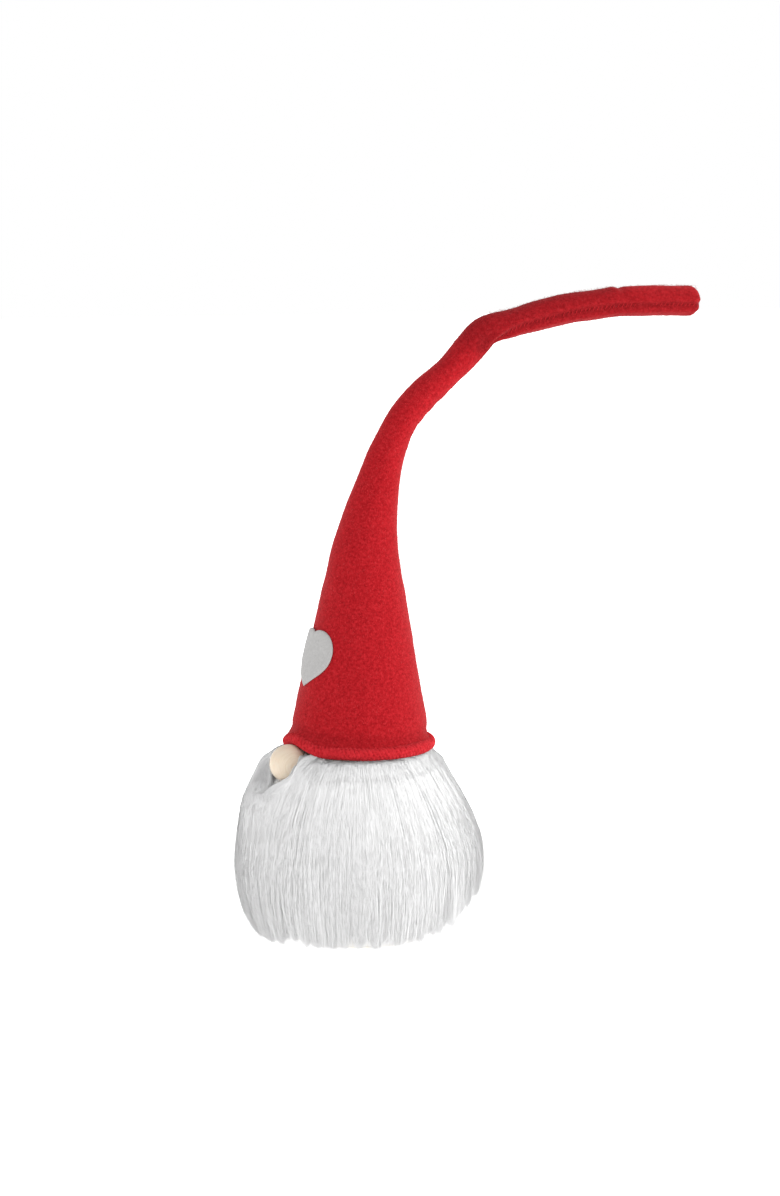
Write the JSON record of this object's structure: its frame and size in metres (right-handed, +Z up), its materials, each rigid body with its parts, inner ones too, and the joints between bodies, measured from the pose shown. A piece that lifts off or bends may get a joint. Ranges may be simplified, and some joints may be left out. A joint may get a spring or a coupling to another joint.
{
  "type": "gnome figurine",
  "caption": "Soft gnome figurine: round weighted body in long white fur, bead nose, tall felt hat with a heart patch and a bendable wire that holds its tail out level.",
  "frame": {"origin": "centre of the flat base, on the surface the figurine stands on", "axes": "+Z up; the nose and the heart face -Y; the hat's tail runs back along +Y; X is the side, +X on the figurine's left"},
  "size_m": [0.163, 0.3318, 0.4225],
  "materials": {
    "red_felt": "fuzzy wool felt",
    "red_thread": "matte sewing thread",
    "grey_felt": "smooth pressed felt",
    "white_fur": "long soft pile with a slight sheen",
    "fur_backing_knit": "knitted backing",
    "white_thread": "matte sewing thread",
    "bead_wood": "pale sanded wood, unvarnished",
    "cream_cloth": "plain woven cotton",
    "card": "plain grey-brown card",
    "pellets": "packed plastic pellets",
    "cord": "twisted cotton cord",
    "fibre_filling": "polyester fibre filling",
    "glue": "set hot-melt glue",
    "wire": "soft galvanised wire"
  },
  "bodies": {
    "gnome_body": {"base_cover": "cream_cloth", "foot_card": "card", "ballast_bag": "cream_cloth", "ballast_pellets": "pellets", "ballast_tie": "cord", "body_sack": "cream_cloth", "body_stuffing": "fibre_filling", "sack_tie": "cord", "fur_backing": "fur_backing_knit", "fur_seam_thread": "white_thread", "fur_pile": "white_fur", "nose_bead": "bead_wood", "nose_glue": "glue", "hat_cone_felt": "red_felt", "hat_hem": "red_felt", "hem_stitches": "red_thread", "cone_seam_thread": "red_thread", "cone_stuffing": "fibre_filling", "cone_wire": "wire", "heart_patch": "grey_felt", "heart_glue": "glue"},
    "hat_upper": {"hat_upper_felt": "red_felt", "upper_seam_thread": "red_thread", "upper_stuffing": "fibre_filling", "upper_wire": "wire"},
    "hat_neck": {"hat_neck_felt": "red_felt", "neck_seam_thread": "red_thread", "neck_stuffing": "fibre_filling", "neck_wire": "wire"},
    "hat_tail": {"hat_tail_felt": "red_felt", "tail_seam_thread": "red_thread", "tail_stuffing": "fibre_filling", "tail_wire": "wire"},
    "hat_tip": {"hat_tip_felt": "red_felt", "tip_seam_thread": "red_thread", "tip_stuffing": "fibre_filling", "tip_wire": "wire", "tip_cap": "red_felt", "tip_cap_stitches": "red_thread"}
  },
  "joints": [
    {"name": "hat_lean", "type": "hinge", "parent": "gnome_body", "child": "hat_upper", "pos_m": [0, 0.005, 0.25], "axis": [0, 1, 0], "range_deg": [-15, 15]},
    {"name": "neck_bend", "type": "hinge", "parent": "hat_upper", "child": "hat_neck", "pos_m": [0, 0.0335, 0.34], "axis": [1, 0, 0], "range_deg": [-30, 30]},
    {"name": "tail_bend", "type": "hinge", "parent": "hat_neck", "child": "hat_tail", "pos_m": [0, 0.091, 0.3925], "axis": [1, 0, 0], "range_deg": [-30, 30]},
    {"name": "tip_bend", "type": "hinge", "parent": "hat_tail", "child": "hat_tip", "pos_m": [0, 0.188, 0.411], "axis": [1, 0, 0], "range_deg": [-30, 30]}
  ]
}
